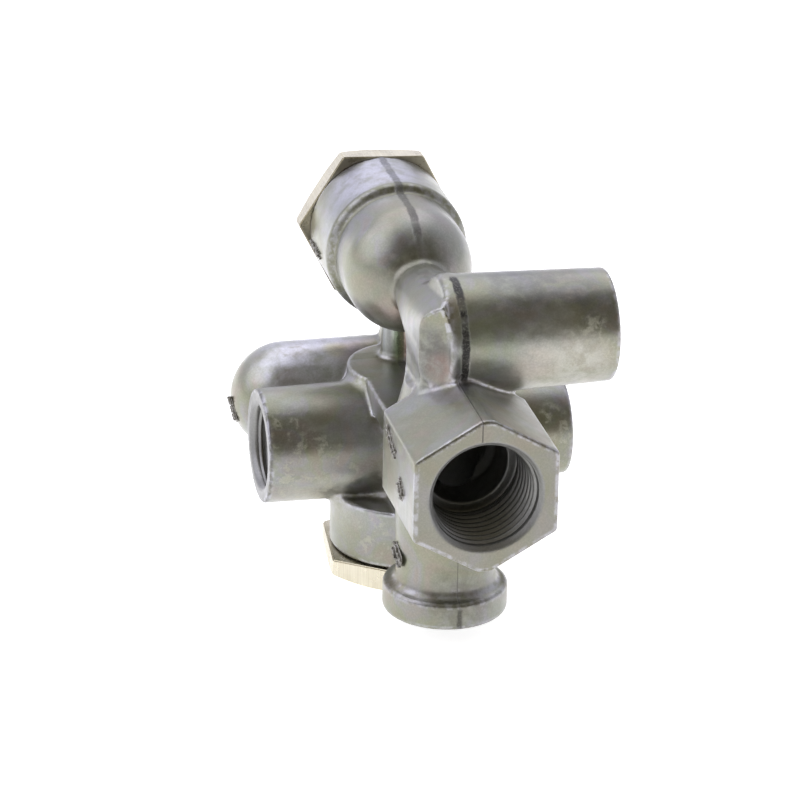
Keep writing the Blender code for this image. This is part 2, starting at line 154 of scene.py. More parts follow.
def hexagon(p):
    x, y, z = p
    half = math.sqrt(3) / 2
    sides = np.abs(x) - HEX_HALF
    sides = smooth_common(sides, np.abs(0.5 * x + half * z) - HEX_HALF, 0.5)
    sides = smooth_common(sides, np.abs(0.5 * x - half * z) - HEX_HALF, 0.5)
    sides = smooth_common(sides, np.abs(z) - HEX_LAND, 0.25)
    return smooth_common(sides, between(y, 0, HEX_LENGTH), 0.6)


def leg_face(p):
    """The slanted faces of the leg and of the tie's front end, one on each side."""
    return (LEG_FACE_Y + LEG_FACE_SLANT * np.abs(p[0]) - p[1]) / math.hypot(1, LEG_FACE_SLANT)


def past_end(p):
    """Keeps the leg and the tie inside the upper port, to the right of its closed end."""
    x, y, z = p
    front = np.hypot(np.minimum(y - COLUMN_Y, 0), np.maximum(z - UPPER_Z, 0)) - UPPER_ROOT_R
    return (front + 0.9 + np.minimum(1.5 * (x - UPPER_LEFT), 4)) / 1.8


def leg(p):
    """The upright from the column to the tie's front end."""
    x, y, z = p
    upright = np.maximum(between(y, LEG_FACE_Y, LEG_BACK), between(z, 2, UPPER_Z))
    upright = smooth_common(upright, np.abs(x) - LEG_HALF, 0.9)
    return np.maximum(smooth_common(upright, leg_face(p), 0.4), past_end(p))


def upper_port(p):
    bar = rod(p, 0, (COLUMN_Y, UPPER_Z), (UPPER_LEFT - 1, UPPER_RIGHT), (UPPER_ROOT_R, UPPER_END_R), 0.7)
    return smooth_common(bar, UPPER_LEFT - p[0], 1.8)


def tie(p):
    """The round tie from the dome. It grows towards the leg, and stays inside the upper port's end."""
    x, y, z = p
    run = np.clip((y - 23) / (DOME_Y - DOME_R - 23), 0, 1)
    radial = np.hypot(x, z - UPPER_Z - 0.8 * (1 - run)) - (TIE_ROOT_R + (TIE_R - TIE_ROOT_R) * run)
    radial = smooth_common(radial, np.abs(x) - LEG_HALF, 0.9)
    return np.maximum(smooth_common(np.maximum(radial, y - 60), leg_face(p), 0.4), past_end(p))


def rear_housing(p):
    x, y, z = p
    front = np.minimum(y - DOME_Y, 0)
    dome = np.sqrt(x * x + (z - UPPER_Z) ** 2 + front * front) - DOME_R
    dome = np.maximum(dome, y - REAR_STEP - 4)
    barrel = np.hypot(x, z - UPPER_Z) - REAR_R
    barrel = smooth_common(barrel, REAR_STEP - y, 1.7)
    barrel = smooth_common(barrel, y - REAR_END, 0.3)
    return smooth_union(dome, barrel, 1.3)


def deck(p):
    """The plate from the column, and the deep round boss that it ends in over the side ports."""
    x, y, z = p
    strip = np.maximum(np.abs(x) - DECK_HALF, between(y, COLUMN_Y, DECK_Y))
    plate = smooth_common(strip, between(z, PLATE_BOTTOM, DECK_Z), 0.6)
    boss = smooth_common(np.hypot(x, y - DECK_Y) - DECK_R, between(z, -12, DECK_Z), 0.6)
    return plate, boss


def back_port(p):
    x, y, z = p
    past = np.minimum(x - BACK_DOME_X, 0)
    tube = np.sqrt(past * past + (y - BACK_Y) ** 2 + (z - BACK_Z) ** 2) - BACK_R
    return smooth_common(tube, x - BACK_RIGHT, 0.6)


def box_field(p, low, high, edge):
    sides = smooth_common(between(p[0], low[0], high[0]), between(p[1], low[1], high[1]), edge)
    return smooth_common(sides, between(p[2], low[2], high[2]), edge)


def masses(p):
    """The casting before it is machined."""
    x = p[0]
    column = rod(p, 2, (0, COLUMN_Y), (-34, -10, 4, 12), (NECK_R, NECK_R + 0.6, NECK_R + 1, NECK_R - 1))
    foot = rod(p, 2, (0, COLUMN_Y), (FOOT_BOTTOM, FOOT_TOP), (FOOT_R, FOOT_R), 0.9)
    solid = smooth_union(column, foot, 2.6)
    shoulder = rod(p, 1, (0, 0), (20, HEX_LENGTH, 34.5), (12.8, 12.8, 10.3), 1.5)
    solid = smooth_union(solid, smooth_union(hexagon(p), shoulder, 1.2), 1.6)
    web = box_field(p, (-WEB_HALF, COLUMN_Y, -30), (WEB_HALF, LOWER_Y, DECK_Z - 2.6), 1.2)
    solid = smooth_union(solid, web, 1.5)
    top = smooth_union(smooth_union(leg(p), tie(p), 0.5), upper_port(p), 0.8)
    solid = smooth_union(solid, top, 1.5)

    side = rod(p, 0, (SIDE_Y, SIDE_Z), (LEFT_END, 0, RIGHT_END), (LEFT_R, LEFT_R + 0.4, RIGHT_R), 0.6)
    lower = rod(p, 2, (0, LOWER_Y), (LOWER_END, LOWER_TOP), (LOWER_R, LOWER_R), 0.5)
    core = rod(p, 2, (0, LOWER_Y), (LOWER_TOP - 2, -8), (9.8, 9.8), 1)
    lower = smooth_union(lower, core, 2.5)
    rear = smooth_union(side, back_port(p), 3.5)
    rear = smooth_union(rear, lower, 2.2)
    plate, boss = deck(p)
    rear = np.minimum(smooth_union(rear, boss, 2.8), smooth_union(rear, plate, 0.9))
    rear = np.maximum(rear, p[2] - DECK_Z)
    neck = rod(p, 2, (0, NECK_UP_Y), (-4, 14), (NECK_UP_R, NECK_UP_R))
    rear = smooth_union(rear, neck, 1.8)
    lug = box_field(p, (LUG_LEFT, LUG_FRONT, BACK_Z + 4), (LUG_RIGHT, LUG_BACK, UPPER_Z - REAR_R + 2), 1)
    rear = smooth_union(rear, lug, 2.2)

    solid = smooth_union(solid, rear, 1.2)
    solid = smooth_union(solid, smooth_union(rear_housing(p), tie(p), 1.5), 1.4)
    return solid - 0.12 * np.exp(-((x / 0.7) ** 4)) * np.clip(p[2] - 6, 0, 1)


def port_bore(p, axis, centre, face, inwards, thread):
    """A bevelled mouth and the bore behind it, that a threaded sleeve lines."""
    radius = thread[0]
    depth = 16.5 if radius > 10 else 13
    heights = [face - inwards, face, face + 1.0 * inwards, face + depth * inwards]
    radii = [radius + 1.3, radius + 0.65, radius - 0.25, radius - 0.25]
    if inwards < 0:
        heights.reverse()
        radii.reverse()
    return rod(p, axis, centre, heights, radii, 0.1)


def hollows(p):
    """The bores and drillings, as they are machined."""
    cut = port_bore(p, 1, (0, 0), 0, 1, HALF_INCH)
    bores = [
        rod(p, 1, (0, 0), (15, 24.5, 26, 33), (8.4, 8.2, 6.6, 6.6), 0.1),
        port_bore(p, 2, (0, COLUMN_Y), FOOT_BOTTOM, 1, THREE_EIGHTHS),
        rod(p, 2, (0, COLUMN_Y), (FOOT_BOTTOM + 12, 4), (6.4, 6.4), 0.1),
        rod(p, 2, (0, COLUMN_Y), (0, UPPER_Z), (4, 4), 0.1),
        port_bore(p, 0, (COLUMN_Y, UPPER_Z), UPPER_RIGHT, -1, THREE_EIGHTHS),
        rod(p, 0, (COLUMN_Y, UPPER_Z), (0.9, 5.9, 6, 19), (4.2, 4.2, 7.2, 7.2), 0.1),
        rod(p, 1, (0, UPPER_Z), (COLUMN_Y, 62), (2.8, 2.8), 0.1),
        rod(p, 1, (0, UPPER_Z), (60.5, 70.9, 71, 84, 84.6, REAR_END - 2.4, REAR_END - 2.2, REAR_END + 1),
            (7.2, 7.2, 10.9, 10.9, 12.2, 12.2, 13.3, 13.3), 0.1),
        rod(p, 2, (0, LOWER_Y),
            (LOWER_END - 1, LOWER_END + 2.2, LOWER_END + 2.5, -29.8, -29.2, -25.3, -25.2, -16),
            (14.7, 14.7, 13.2, 13.2, 11.2, 11.2, 8.2, 8.2), 0.1),
        port_bore(p, 0, (SIDE_Y, SIDE_Z), LEFT_END, 1, THREE_EIGHTHS),
        port_bore(p, 0, (SIDE_Y, SIDE_Z), RIGHT_END, -1, THREE_EIGHTHS),
        rod(p, 0, (SIDE_Y, SIDE_Z), (LEFT_END + 12, RIGHT_END - 12), (7, 7), 0.1),
        rod(p, 1, (0, -26.4), (COLUMN_Y, LOWER_Y - 8), (2.8, 2.8), 0.1),
        rod(p, 1, (0, SIDE_Z + 0.4), (SIDE_Y, BACK_Y), (2.6, 2.6), 0.1),
        rod(p, 2, (0, NECK_UP_Y), (SIDE_Z, UPPER_Z - 8), (1.8, 1.8), 0.1),
        port_bore(p, 0, (BACK_Y, BACK_Z), BACK_RIGHT, -1, THREE_EIGHTHS),
        rod(p, 0, (BACK_Y, BACK_Z), (BACK_DOME_X + 2, BACK_RIGHT - 12), (6.6, 6.6), 0.1),
    ]
    for bore in bores:
        cut = np.minimum(cut, bore)
    return cut


def casting(p):
    return smooth_cut(masses(p), hollows(p), 0.25)


# ---------------------------------------------------------------- from field to mesh

def sample_field(low, counts):
    """The field on a grid. Only blocks near the surface are worked out in full."""
    block = 4
    reach = VOXEL * block * 0.87 + 0.9
    axes = [low[i] + VOXEL * np.arange(counts[i], dtype=np.float32) for i in range(3)]
    coarse_axes = [a[::block] + VOXEL * (block - 1) / 2 for a in axes]
    coarse = casting(np.meshgrid(*coarse_axes, indexing="ij"))
    near = np.abs(coarse) < reach
    sign = np.where(coarse < 0, -1.0, 1.0).astype(np.float32)
    values = sign
    for axis in range(3):
        values = np.repeat(values, block, axis)
        near = np.repeat(near, block, axis)
    values = values[:counts[0], :counts[1], :counts[2]].copy()
    near = near[:counts[0], :counts[1], :counts[2]]
    i, j, k = np.nonzero(near)
    values[i, j, k] = casting((axes[0][i], axes[1][j], axes[2][k]))
    return values


def surface_net(low, values):
    """One vertex in each cell that the surface crosses, and a quad round each crossed edge."""
    counts = np.array(values.shape)
    inside = values < 0
    steps = (values.shape[1] * values.shape[2], values.shape[2], 1)
    corner_sum = sum(inside[a:counts[0] - 1 + a, b:counts[1] - 1 + b, c:counts[2] - 1 + c].astype(np.int8)
                     for a in (0, 1) for b in (0, 1) for c in (0, 1))
    cells = np.argwhere((corner_sum > 0) & (corner_sum < 8))
    flat = cells @ np.array(steps)
    field = values.ravel()
    total = np.zeros((len(cells), 3), np.float32)
    hits = np.zeros(len(cells), np.float32)
    for axis in range(3):
        others = [i for i in range(3) if i != axis]
        for a in (0, 1):
            for b in (0, 1):
                start = flat + a * steps[others[0]] + b * steps[others[1]]
                v0 = field[start]
                v1 = field[start + steps[axis]]
                crossed = (v0 < 0) != (v1 < 0)
                gap = np.where(crossed, v0 - v1, 1)
                point = np.zeros((len(cells), 3), np.float32)
                point[:, axis] = v0 / gap
                point[:, others[0]] = a
                point[:, others[1]] = b
                total += point * crossed[:, None]
                hits += crossed
    points = np.array(low, np.float32) + VOXEL * (cells + total / hits[:, None])
    number = np.full(values.size, -1, np.int64)
    number[flat] = np.arange(len(cells))
    quads = []
    for axis in range(3):
        others = [(axis + 1) % 3, (axis + 2) % 3]
        first = [slice(1, counts[i] - 1) for i in range(3)]
        first[axis] = slice(0, counts[axis] - 1)
        second = list(first)
        second[axis] = slice(1, counts[axis])
        now = inside[tuple(first)]
        after = inside[tuple(second)]
        edges = np.argwhere(now != after)
        leaving = now[tuple(edges.T)]
        for i in range(3):
            edges[:, i] += first[i].start
        start = edges @ np.array(steps)
        s0, s1 = steps[others[0]], steps[others[1]]
        quad = np.stack([start, start - s0, start - s0 - s1, start - s1], 1)
        quad[~leaving] = quad[~leaving][:, ::-1]
        quads.append(number[quad])
    return points, np.concatenate(quads)


def gradient(points):
    """The field and its gradient at each point."""
    step = 0.05
    slope = np.zeros_like(points)
    for axis in range(3):
        ahead = points.copy()
        behind = points.copy()
        ahead[:, axis] += step
        behind[:, axis] -= step
        slope[:, axis] = (casting(ahead.T) - casting(behind.T)) / (2 * step)
    return casting(points.T), slope


def settle(points, rounds=2):
    """Moves the points onto the surface."""
    for _ in range(rounds):
        value, slope = gradient(points)
        size = np.maximum((slope * slope).sum(1), 0.2)
        move = -(value / size)[:, None] * slope
        points = points + np.clip(move, -VOXEL / 2, VOXEL / 2)
    return points


def surface_masks(points):
    """How convex, how hollow and how freshly machined the surface is at each point."""
    _, slope = gradient(points)
    normal = slope / np.maximum(np.linalg.norm(slope, axis=1), 1e-6)[:, None]
    reach = 1.1
    convex = (masses((points - reach * normal).T) + reach) / reach
    hollow = (reach - masses((points + reach * normal).T)) / reach
    machined = np.clip((0.2 - np.abs(hollows(points.T))) / 0.1, 0, 1)
    return {
        "convex": np.clip(convex * 2.2, 0, 1) * (1 - machined),
        "hollow": np.clip(hollow * 1.6, 0, 1) * (1 - machined),
        "machined": machined,
    }


def thread_sleeve(axis, centre, face, inwards, thread):
    """A ring that lines a bore, with a V thread inside, which tapers as pipe threads do."""
    radius, pitch = thread
    depth = 16 if radius > 10 else 12.4
    start = 0.75
    around = 96
    rows = int((depth - start) / pitch * 8)
    angles = math.tau * np.arange(around) / around
    heights = start + (depth - start) * np.arange(rows + 1) / rows
    a, h = np.meshgrid(angles, heights, indexing="ij")
    phase = (h / pitch - a / math.tau) % 1
    wave = 1 - np.abs(2 * phase - 1)
    wave = np.clip(wave * 1.5 - 0.25, 0, 1)
    fade = np.clip((h - start) / pitch, 0, 1) * np.clip((depth - h) / pitch, 0, 1)
    inner = radius - 0.05 - h / 32 - 0.42 * pitch * wave * fade
    outer = np.full((around, 1), radius + 0.5)
    radii = np.concatenate([outer, inner, outer], 1)
    along = np.concatenate([np.full((around, 1), start), h, np.full((around, 1), depth)], 1)
    turn = np.repeat(angles[:, None], radii.shape[1], 1)
    points = np.zeros((radii.size, 3))
    others = [i for i in range(3) if i != axis]
    points[:, axis] = (face + inwards * along).ravel()
    points[:, others[0]] = centre[0] + (radii * np.cos(turn)).ravel()
    points[:, others[1]] = centre[1] + (radii * np.sin(turn)).ravel()
    index = np.arange(radii.size).reshape(radii.shape)
    ahead = np.roll(index, -1, 0)
    index_next = np.roll(index, -1, 1)
    ahead_next = np.roll(ahead, -1, 1)
    quads = np.stack([index, ahead, ahead_next, index_next], -1).reshape(-1, 4)
    right_handed = (axis != 1) == (inwards > 0)
    return points, quads if right_handed else quads[:, ::-1]


def mesh_object(name, points, faces, masks=None):
    """An object from points in millimetres in the casting's frame."""
    mesh = bpy.data.meshes.new(name)
    mesh.from_pydata((points * MM + np.array(ORIGIN)).tolist(), [], list(faces))
    mesh.update()
    mesh.shade_smooth()
    for label, values in (masks or {}).items():
        layer = mesh.attributes.new(label, "FLOAT", "POINT")
        layer.data.foreach_set("value", values.astype(np.float32))
    ob = bpy.data.objects.new(name, mesh)
    bpy.context.scene.collection.objects.link(ob)
    return ob


def build_casting():
    low = np.array([-33.5, -1.5, -38.5])
    high = np.array([34.5, 100.5, 37.5])
    counts = (np.ceil((high - low) / VOXEL)).astype(int)
    points, quads = surface_net(low, sample_field(low, counts))
    points = settle(points)
    masks = surface_masks(points)
    sleeves = [
        thread_sleeve(1, (0, 0), 0, 1, HALF_INCH),
        thread_sleeve(2, (0, COLUMN_Y), FOOT_BOTTOM, 1, THREE_EIGHTHS),
        thread_sleeve(0, (COLUMN_Y, UPPER_Z), UPPER_RIGHT, -1, THREE_EIGHTHS),
        thread_sleeve(0, (SIDE_Y, SIDE_Z), LEFT_END, 1, THREE_EIGHTHS),
        thread_sleeve(0, (SIDE_Y, SIDE_Z), RIGHT_END, -1, THREE_EIGHTHS),
        thread_sleeve(0, (BACK_Y, BACK_Z), BACK_RIGHT, -1, THREE_EIGHTHS),
    ]
    for sleeve_points, sleeve_quads in sleeves:
        quads = np.concatenate([quads, sleeve_quads + len(points)])
        points = np.concatenate([points, sleeve_points])
        for label, value in (("convex", 0), ("hollow", 0), ("machined", 1)):
            masks[label] = np.concatenate([masks[label], np.full(len(sleeve_points), value)])
    body = mesh_object("valve_casting", points, quads, masks)
    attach(body, "valve")
    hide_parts("valve_body")
    return body


# ---------------------------------------------------------------- cast marks

# Each mark: its middle, the direction it faces, the direction it runs in, and its length and height.
MARKS = [
    ((-14.3, 18.9, 4.9), (-1, 0, 0), (0, -1, -0.5), 7.4, 2.2),
    ((-14.3, 10.6, -1.6), (-1, 0, 0), (0, -1, -0.7), 4.4, 3.4),
    ((-10.2, 29.4, -24.6), (-0.99, -0.12, 0.06), (0.1, -0.9, -0.5), 5.2, 3.2),
    ((-14.5, 87.6, 18.6), (-0.98, 0, -0.18), (0, -1, 0), 8.2, 1.8),
    ((-32.0, 86.6, -15.6), (-0.98, -0.08, -0.17), (0, -0.5, -1), 5.4, 2.6),
]
PAD_RISE = 0.08
STROKE_STEP = 0.85
STROKE_WIDTH = 0.36


def rounded_bar(bm, centre, along, across, facing, length, width, height):
    """A bar of cast relief, whose top edges are rounded off."""
    outline = [(-1, -0.5), (-0.7, -1), (0.7, -1), (1, -0.5), (1, 0.5), (0.7, 1), (-0.7, 1), (-1, 0.5)]
    rings = [(1.0, -0.3), (1.0, 0.55), (0.86, 0.85), (0.6, 1.0)]
    loops = []
    for spread, level in rings:
        loop = []
        for a, b in outline:
            half = Vector((a * (length - width * (1 - spread)) / 2, b * width / 2 * spread))
            corner = centre + along * half.x + across * half.y + facing * (level * height)
            loop.append(bm.verts.new(corner))
        loops.append(loop)
    for low, high in zip(loops, loops[1:]):
        for i in range(len(low)):
            j = (i + 1) % len(low)
            bm.faces.new((low[i], low[j], high[j], high[i]))
    bm.faces.new(loops[0][::-1])
    bm.faces.new(loops[-1])


def build_marks():
    """Plain raised strokes where the casting has its foundry marks. They spell nothing."""
    draw = np.random.default_rng(7)
    bm = bmesh.new()
    for centre, facing, along, length, height in MARKS:
        facing = Vector(facing).normalized()
        along = Vector(along)
        along = (along - along.dot(facing) * facing).normalized()
        across = facing.cross(along)
        middle = Vector(centre)
        rounded_bar(bm, middle, along, across, facing, length + 0.2, height + 0.2, PAD_RISE)
        for step in np.arange(-length / 2 + 0.4, length / 2, STROKE_STEP):
            for row in (-0.28, 0.28):
                slant = math.radians(draw.uniform(-60, 60))
                stroke = along * math.cos(slant) + across * math.sin(slant)
                at = middle + along * (step + draw.uniform(-0.15, 0.15)) + across * row * height
                size = draw.uniform(0.8, 1.35)
                rise = draw.uniform(0.4, 0.58)
                rounded_bar(bm, at, stroke, facing.cross(stroke), facing, size, STROKE_WIDTH, rise)
    dot = bmesh.ops.create_uvsphere(bm, u_segments=20, v_segments=12, radius=1.3)["verts"]
    bmesh.ops.scale(bm, verts=dot, vec=(0.55, 1, 1.2))
    bmesh.ops.translate(bm, verts=dot, vec=(HEX_HALF, 2.9, -3.1))
    bmesh.ops.recalc_face_normals(bm, faces=bm.faces)
    points = np.array([v.co for v in bm.verts])
    bm.verts.index_update()
    faces = [[v.index for v in face.verts] for face in bm.faces]
    bm.free()
    marks = mesh_object("cast_marks", points, faces)
    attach(marks, "valve")
    return marks


# ---------------------------------------------------------------- springs

def build_spring(name, radius, wire, start, length, turns, axis, centre):
    """A coil with closed end turns, in place of the CAD spring of that name."""
    per_turn, sides = 40, 12
    turn = np.arange(turns * per_turn + 1) / per_turn
    closed = 1.08 * wire
    pitch = (length - wire - 2 * closed) / (turns - 2)
    rise = wire / 2 + closed * np.clip(turn, 0, 1) + pitch * np.clip(turn - 1, 0, turns - 2)
    rise += closed * np.clip(turn - turns + 1, 0, 1)
    a, b = np.meshgrid(math.tau * turn, math.tau * np.arange(sides) / sides, indexing="ij")
    r = radius + wire / 2 * np.cos(b)
    others = [i for i in range(3) if i != axis]
    points = np.zeros((r.size, 3))
    points[:, axis] = start + (rise[:, None] + wire / 2 * np.sin(b)).ravel()
    points[:, others[0]] = centre[0] + (r * np.cos(a)).ravel()
    points[:, others[1]] = centre[1] + (r * np.sin(a)).ravel()
    index = np.arange(r.size).reshape(r.shape)
    side = np.roll(index, -1, 1)
    faces = np.stack([index[:-1], side[:-1], side[1:], index[1:]], -1).reshape(-1, 4)
    if axis == 1:
        faces = faces[:, ::-1]
    faces = [*faces.tolist(), index[0].tolist(), index[-1].tolist()]
    ob = mesh_object(name + "_coil", points, faces)
    tidy = bmesh.new()
    tidy.from_mesh(ob.data)
    bmesh.ops.recalc_face_normals(tidy, faces=tidy.faces)
    tidy.to_mesh(ob.data)
    tidy.free()
    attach(ob, "valve")
    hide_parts(name)
    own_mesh(ob)
    return ob


# ---------------------------------------------------------------- materials

class Nodes:
    """Short names for building a node tree. Places are in millimetres from an origin."""

    def __init__(self, name, roughness, metallic, origin=(0, 0, 0)):
        self.material = bpy.data.materials.new(name)
        self.material.use_nodes = True
        self.tree = self.material.node_tree
        self.shader = self.tree.nodes["Principled BSDF"]
        self.shader.inputs["Roughness"].default_value = roughness
        self.shader.inputs["Metallic"].default_value = metallic
        place = self.tree.nodes.new("ShaderNodeTexCoord").outputs["Object"]
        self.place = self.vector("MULTIPLY_ADD", place, (1 / MM,) * 3, [-c / MM for c in origin])
        parts = self.tree.nodes.new("ShaderNodeSeparateXYZ")
        self.link(self.place, parts.inputs[0])
        self.x, self.y, self.z = parts.outputs

    def link(self, source, socket):
        if isinstance(source, (int, float)):
            socket.default_value = source
        elif isinstance(source, (tuple, list)):
            source = list(source)
            socket.default_value = source + [1] if socket.type == "RGBA" else source
        else:
            self.tree.links.new(source, socket)

    def vector(self, operation, *sources):
        node = self.tree.nodes.new("ShaderNodeVectorMath")
        node.operation = operation
        for source, socket in zip(sources, node.inputs):
            self.link(source, socket)
        return node.outputs["Value"] if operation in ("DISTANCE", "DOT_PRODUCT") else node.outputs[0]

    def noise(self, scale, detail=4, rough=0.55, stretch=(1, 1, 1), distortion=0):
        node = self.tree.nodes.new("ShaderNodeTexNoise")
        node.inputs["Scale"].default_value = scale
        node.inputs["Detail"].default_value = detail
        node.inputs["Roughness"].default_value = rough
        node.inputs["Distortion"].default_value = distortion
        self.link(self.vector("MULTIPLY", self.place, stretch), node.inputs["Vector"])
        return node.outputs["Fac"]

    def range(self, source, low, high, to_low=0.0, to_high=1.0):
        node = self.tree.nodes.new("ShaderNodeMapRange")
        node.interpolation_type = "SMOOTHSTEP"
        self.link(source, node.inputs["Value"])
        node.inputs["From Min"].default_value = low
        node.inputs["From Max"].default_value = high
        node.inputs["To Min"].default_value = to_low
        node.inputs["To Max"].default_value = to_high
        return node.outputs["Result"]

    def math(self, operation, a, b=0.0):
        node = self.tree.nodes.new("ShaderNodeMath")
        node.operation = operation
        self.link(a, node.inputs[0])
        self.link(b, node.inputs[1])
        return node.outputs[0]

    def times(self, *factors):
        result = factors[0]
        for factor in factors[1:]:
            result = self.math("MULTIPLY", result, factor)
        return result

    def mix(self, factor, a, b, blend="MIX"):
        node = self.tree.nodes.new("ShaderNodeMix")
        node.data_type = "RGBA"
        node.blend_type = blend
        self.link(factor, node.inputs["Factor"])
        self.link(a, next(s for s in node.inputs if s.name == "A" and s.type == "RGBA"))
        self.link(b, next(s for s in node.inputs if s.name == "B" and s.type == "RGBA"))
        return next(s for s in node.outputs if s.type == "RGBA")

    def ramp(self, source, stops):
        node = self.tree.nodes.new("ShaderNodeValToRGB")
        elements = node.color_ramp.elements
        while len(elements) < len(stops):
            elements.new(0.5)
        for element, (place, colour) in zip(elements, stops):
            element.position = place
            element.color = (*colour, 1)
        self.link(source, node.inputs["Fac"])
        return node.outputs["Color"]

    def attribute(self, name):
        node = self.tree.nodes.new("ShaderNodeAttribute")
        node.attribute_name = name
        return node.outputs["Fac"]

    def stripe(self, source, middle, half, soft):
        """1 near the middle of a coordinate, 0 beyond half its width."""
        off = self.math("ABSOLUTE", self.math("SUBTRACT", source, middle))
        return self.range(off, half - soft, half + soft, 1.0, 0.0)

    def spot(self, centre, radius, core=0.3):
        distance = self.vector("DISTANCE", self.place, centre)
        return self.range(distance, radius * core, radius, 1.0, 0.0)

    def bump(self, height, strength, distance):
        node = self.tree.nodes.new("ShaderNodeBump")
        node.inputs["Strength"].default_value = strength
        node.inputs["Distance"].default_value = distance
        self.link(height, node.inputs["Height"])
        previous = self.shader.inputs["Normal"].links
        if previous:
            self.link(previous[0].from_socket, node.inputs["Normal"])
        self.link(node.outputs["Normal"], self.shader.inputs["Normal"])

    def finish(self, colour, roughness=None):
        self.link(colour, self.shader.inputs["Base Color"])
        if roughness is not None:
            self.link(roughness, self.shader.inputs["Roughness"])
        return self.material


# Tints of the chromate film, and painted light and shade: paler patches where light falls on the back and
# left parts, darker patches as painted shade. Middle in the casting's frame, reach, colour and strength.
FILM_TINTS_AND_PAINTED_LIGHT = [
    ((-16.0, 84.0, -5.0), 16.0, (0.60, 0.60, 0.68), 0.85),
    ((-4.0, 84.0, 36.0), 15.0, (0.56, 0.56, 0.65), 0.85),
    ((15.0, 29.5, 34.0), 15.0, (0.13, 0.13, 0.125), 0.75),
    ((20.0, 20.5, 17.0), 15.0, (0.46, 0.455, 0.40), 0.8),
    ((0.0, 58.0, 24.0), 15.0, (0.16, 0.16, 0.135), 0.6),
    ((-20.0, 57.0, -24.0), 11.0, (0.44, 0.43, 0.38), 0.6),
    ((0.0, 18.0, -31.0), 11.0, (0.13, 0.125, 0.085), 0.7),
    ((-5.5, 23.0, 21.0), 8.0, (0.10, 0.095, 0.08), 0.85),
    ((-4.0, 21.5, 18.0), 4.5, (0.26, 0.17, 0.14), 0.55),
    ((-3.3, 20.6, 8.0), 4.0, (0.27, 0.36, 0.20), 0.4),
    ((26.5, 24.0, 29.5), 7.0, (0.13, 0.135, 0.145), 0.6),
    ((6.0, 18.6, 24.0), 8.0, (0.25, 0.30, 0.18), 0.35),
    ((-4.0, 56.0, 16.5), 6.0, (0.38, 0.25, 0.20), 0.4),
    ((-7.0, 84.0, -3.0), 6.0, (0.48, 0.34, 0.38), 0.35),
    ((-11.0, 84.5, -2.6), 3.5, (0.50, 0.46, 0.18), 0.4),
    ((14.0, 20.0, 18.0), 7.0, (0.36, 0.27, 0.20), 0.3),
    ((-14.0, 78.0, 27.0), 9.0, (0.36, 0.37, 0.44), 0.35),
    ((-10.0, 74.5, 14.0), 7.0, (0.33, 0.38, 0.16), 0.45),
]
# Where the film is blotched with pale yellowish deposits.
BLOTCHES = [
    ((-22, 55, -18), 12),
    ((-28, 57, -8), 6),
    ((28, 57, -14), 9),
    ((27, 19, 22), 8),
    ((-12, 48, -30), 7),
]


def seam(n):
    """The ground-off flash along the parting line: a rough band on the upper parts, a line below."""
    speckle = n.range(n.noise(2.6, 4, 0.7), 0.30, 0.52, 0.45, 1.0)
    wander = n.range(n.noise(0.5, 3, 0.6), 0.3, 0.7, -0.15, 0.15)
    x = n.math("ADD", n.x, wander)
    worn = n.range(n.noise(0.16, 3, 0.6, (0.01, 1, 1)), 0.30, 0.50, 0.4, 1.0)
    port = n.times(n.range(n.y, 31.5, 30.0), n.range(n.z, 15.4, 16.6))
    rear_part = n.times(n.range(n.y, 57.0, 60.0), 0.62)
    place = n.math("MAXIMUM", port, rear_part)
    upper = n.times(n.stripe(x, 0.05, 0.76, 0.25), place, speckle, worn)
    foot = n.times(n.stripe(x, 0.0, 0.5, 0.3), n.range(n.z, -32.0, -33.0), speckle, 0.6)
    line = n.times(n.stripe(n.x, 0.0, 0.10, 0.08), n.range(n.z, -14.0, -16.0), 0.4)
    edge = n.times(n.stripe(n.x, -1.1, 0.12, 0.07), n.range(n.z, 10.8, 11.5), n.range(n.z, 17.6, 17.0))
    lines = n.math("MAXIMUM", line, n.times(edge, n.range(n.y, 28, 26), 0.6))
    cast_only = n.math("SUBTRACT", 1.0, n.attribute("machined"))
    return n.times(n.math("MAXIMUM", n.math("MAXIMUM", upper, foot), lines), cast_only)


def bore_depth(n):
    """How deep a point lies in the front bore or the left one, which are the two that show: the depth that
    the painted shade in these bores follows.
    """
    front = n.times(n.range(n.y, 2.0, 15.0), n.range(n.y, 42.0, 38.0))
    left = n.times(n.range(n.x, -29.5, -24.0), n.range(n.y, 50.0, 54.0))
    return n.math("MAXIMUM", front, left)


